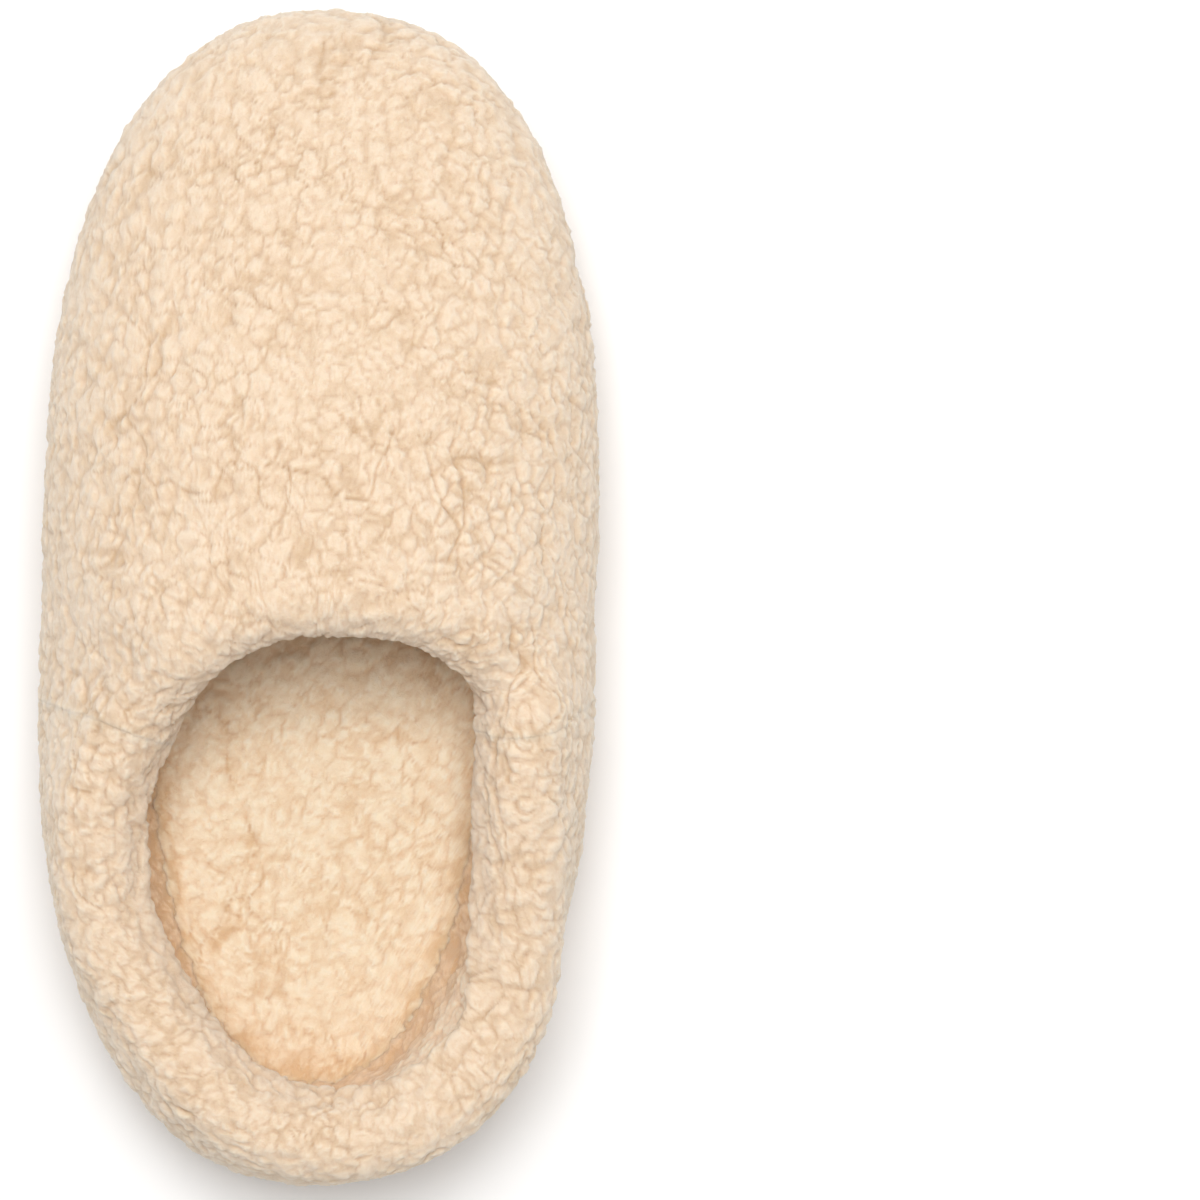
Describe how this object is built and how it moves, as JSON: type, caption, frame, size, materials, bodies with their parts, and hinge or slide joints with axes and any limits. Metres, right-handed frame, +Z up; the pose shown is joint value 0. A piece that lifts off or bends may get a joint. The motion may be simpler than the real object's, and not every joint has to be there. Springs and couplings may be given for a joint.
{
  "type": "house slipper",
  "caption": "Closed-toe, closed-back house slipper in deep curly fleece, with a rolled padded rim, a fleece footbed and a flat moulded sole.",
  "frame": {"origin": "on the ground, under the middle of the sole", "axes": "+Z up, +Y towards the toe, +X towards the inner side of the left foot"},
  "size_m": [0.1276, 0.2699, 0.0831],
  "materials": {
    "outer_fleece": "deep curly fleece, matte",
    "lining_fleece": "curly fleece, matte",
    "soft_foam": "open-cell foam",
    "sole_foam": "closed-cell foam",
    "sole_rubber": "matte, fine grain, moulded tread",
    "board": "pressed non-woven fibre",
    "tape": "woven cotton tape",
    "thread": "twisted polyester thread"
  },
  "bodies": {
    "root": {"outsole": "sole_rubber", "midsole": "sole_foam", "insole_board": "board", "footbed_foam": "soft_foam", "footbed_cover": "lining_fleece", "vamp_outer": "outer_fleece", "vamp_padding": "soft_foam", "vamp_lining": "lining_fleece", "quarter_outer": "outer_fleece", "quarter_padding": "soft_foam", "quarter_lining": "lining_fleece", "heel_counter": "board", "topline_tape": "tape", "topline_stitching": "thread", "side_seam_inner": "thread", "side_seam_outer": "thread", "insole_stitching": "thread"}
  },
  "joints": []
}
